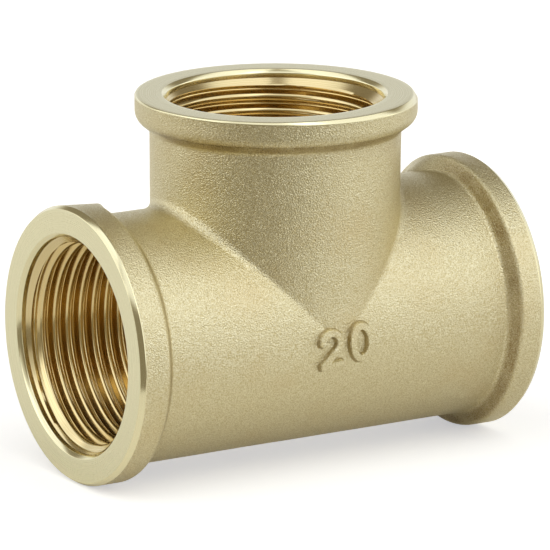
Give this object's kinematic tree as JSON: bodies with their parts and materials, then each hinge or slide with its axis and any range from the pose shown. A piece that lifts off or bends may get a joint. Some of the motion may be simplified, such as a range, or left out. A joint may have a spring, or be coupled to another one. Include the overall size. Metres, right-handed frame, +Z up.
{
  "type": "threaded tee pipe fitting",
  "caption": "Equal tee pipe fitting: a straight run with a branch at right angles, thick rimmed collars and female threaded ports joined by one passage.",
  "frame": {"origin": "on the surface the run's collars rest on, straight below the point where the run's and the branch's axes cross", "axes": "+X along the run, +Z up the branch, -Y the side with the raised size numeral"},
  "size_m": [0.0574, 0.0342, 0.0454],
  "materials": {
    "forged_brass": "shot-blasted forged skin with machined end faces, chamfers and threads"
  },
  "bodies": {
    "root": {"tee_body": "forged_brass"}
  },
  "joints": []
}
